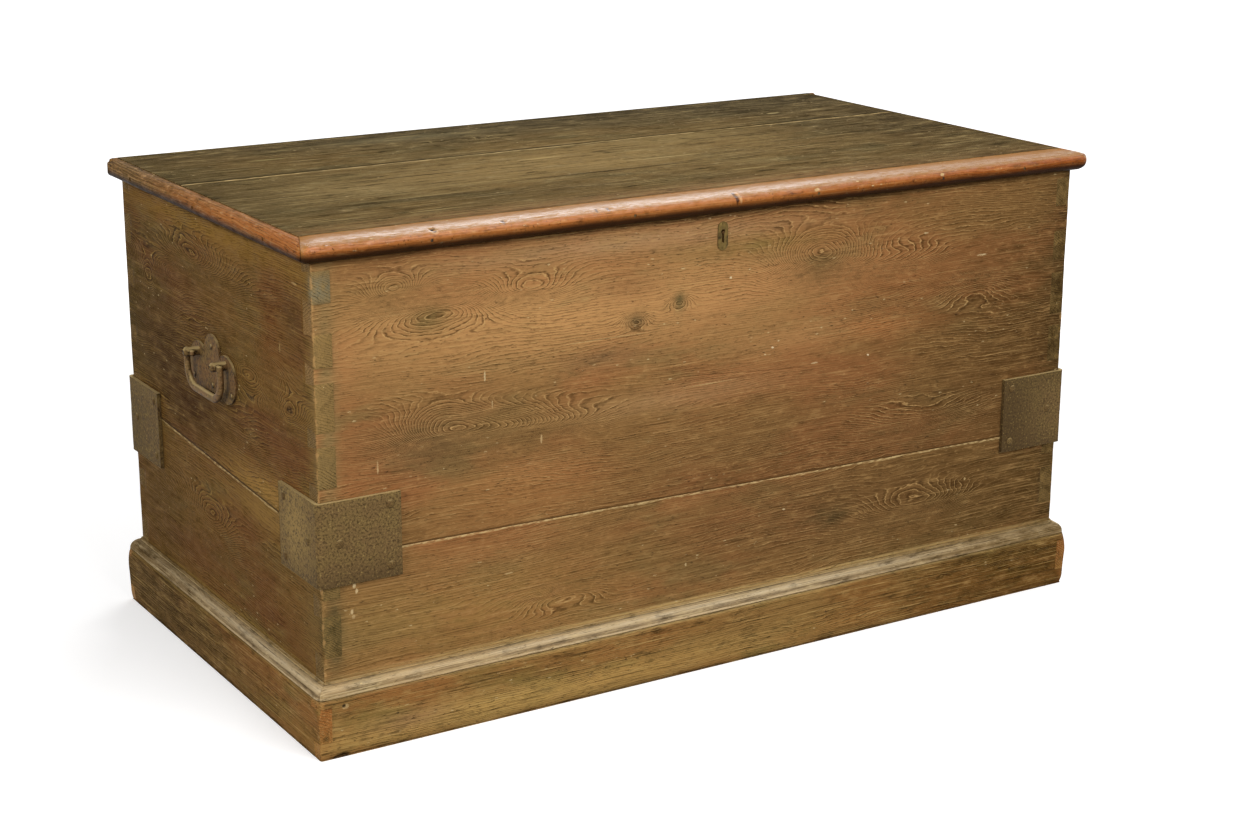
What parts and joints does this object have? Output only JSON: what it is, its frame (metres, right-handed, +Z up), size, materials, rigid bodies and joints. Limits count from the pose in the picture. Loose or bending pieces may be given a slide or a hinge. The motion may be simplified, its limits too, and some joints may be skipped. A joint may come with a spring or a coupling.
{
  "type": "lidded chest",
  "caption": "Low pine storage chest with dovetailed sides, moulded plinth, hinged lid, chest lock, iron corner plates and drop handles.",
  "frame": {"origin": "on the floor under the middle of the carcase", "axes": "+X along the front towards the right end, +Y from the front to the back, +Z up"},
  "size_m": [1.23, 0.6649, 0.6508],
  "materials": {
    "carcase_pine": "old oiled pine, worn, satin",
    "bottom_pine": "dry unfinished pine",
    "plinth_pine": "old oiled pine, worn, satin",
    "lid_pine": "old pine, darkened, worn paler in the middle",
    "nosing_pine": "orange-brown pine, polished by hands",
    "wrought_iron": "rusted brown wrought iron, matt",
    "lock_steel": "dull steel",
    "aged_brass": "brass with a grey-green patina"
  },
  "bodies": {
    "carcase": {"left_end_upper": "carcase_pine", "left_end_lower": "carcase_pine", "right_end_upper": "carcase_pine", "right_end_lower": "carcase_pine", "front_board_upper": "carcase_pine", "front_board_lower": "carcase_pine", "back_board_upper": "carcase_pine", "back_board_lower": "carcase_pine", "bottom_board_1": "bottom_pine", "bottom_board_2": "bottom_pine", "bottom_board_3": "bottom_pine", "bottom_board_4": "bottom_pine", "plinth_front": "plinth_pine", "plinth_back": "plinth_pine", "plinth_left": "plinth_pine", "plinth_right": "plinth_pine", "plinth_moulding_front": "plinth_pine", "plinth_moulding_back": "plinth_pine", "plinth_moulding_left": "plinth_pine", "plinth_moulding_right": "plinth_pine", "corner_plate_front_left": "wrought_iron", "corner_plate_front_right": "wrought_iron", "corner_plate_back_left": "wrought_iron", "corner_plate_back_right": "wrought_iron", "corner_plate_nails": "wrought_iron", "bottom_nails": "wrought_iron", "plinth_nails": "wrought_iron", "hinge_leaf_left": "wrought_iron", "hinge_leaf_right": "wrought_iron", "hinge_pin_left": "wrought_iron", "hinge_pin_right": "wrought_iron", "handle_plate_left": "wrought_iron", "handle_plate_right": "wrought_iron", "hinge_leaf_screws": "lock_steel", "lock_case": "lock_steel", "lock_cap": "lock_steel", "lock_rivets": "lock_steel", "lock_key_pin": "lock_steel", "lock_ward": "lock_steel", "lock_spring": "lock_steel", "handle_screws": "lock_steel", "keyhole_escutcheon": "aged_brass", "escutcheon_pins": "aged_brass"},
    "lid": {"lid_board_front": "lid_pine", "lid_board_back": "lid_pine", "lid_nosing_front": "nosing_pine", "lid_nosing_left": "nosing_pine", "lid_nosing_right": "nosing_pine", "lid_batten_left": "lid_pine", "lid_batten_right": "lid_pine", "batten_screws": "lock_steel", "nosing_nails": "wrought_iron", "hinge_strap_left": "wrought_iron", "hinge_strap_right": "wrought_iron", "hinge_strap_screws": "lock_steel", "hook_plate": "lock_steel", "hook_plate_screws": "lock_steel"},
    "bail_left": {"handle_bail_left": "wrought_iron"},
    "bail_right": {"handle_bail_right": "wrought_iron"},
    "bolt": {"lock_bolt": "lock_steel"}
  },
  "joints": [
    {"name": "lid_hinge", "type": "hinge", "parent": "carcase", "child": "lid", "pos_m": [0, 0.315, 0.62515], "axis": [-1, 0, 0], "range_deg": [0, 105]},
    {"name": "bail_left_swing", "type": "hinge", "parent": "carcase", "child": "bail_left", "pos_m": [-0.605, 0, 0.438], "axis": [0, 1, 0], "range_deg": [-8, 188]},
    {"name": "bail_right_swing", "type": "hinge", "parent": "carcase", "child": "bail_right", "pos_m": [0.605, 0, 0.438], "axis": [0, -1, 0], "range_deg": [-8, 188]},
    {"name": "lock_bolt_slide", "type": "slide", "parent": "carcase", "child": "bolt", "axis": [1, 0, 0], "range_m": [0, 0.01]}
  ]
}
